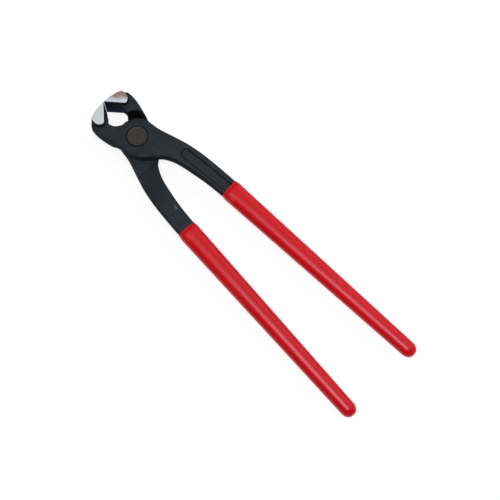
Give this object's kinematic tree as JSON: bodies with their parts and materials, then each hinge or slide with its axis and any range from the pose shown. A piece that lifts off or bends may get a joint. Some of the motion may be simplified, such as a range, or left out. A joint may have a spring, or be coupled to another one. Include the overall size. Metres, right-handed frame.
{
  "type": "fencing nippers",
  "caption": "End-cutting fencing nippers with two forged levers crossing at a riveted lap joint and long handles in dipped plastic grips.",
  "frame": {"origin": "centre of the pivot rivet's rear face, on the pivot axis", "axes": "+Z along the pivot axis from the rear face to the front, +Y from the pivot to the cutting edges, +X to the side of the front lever's handle"},
  "size_m": [0.0698, 0.2799, 0.025],
  "materials": {
    "forged_steel": "black oxide forged steel, satin, ground bright beside the cutting edges",
    "rivet_steel": "black oxide steel, satin",
    "grip_plastic": "glossy red dipped plastic"
  },
  "bodies": {
    "rear_half": {"rear_lever": "forged_steel", "rear_grip": "grip_plastic", "pivot_rivet": "rivet_steel"},
    "front_half": {"front_lever": "forged_steel", "front_grip": "grip_plastic"}
  },
  "joints": [
    {"name": "jaw_opening", "type": "hinge", "parent": "rear_half", "child": "front_half", "pos_m": [0, 0, 0], "axis": [0, 0, 1], "range_deg": [0, 40]}
  ]
}
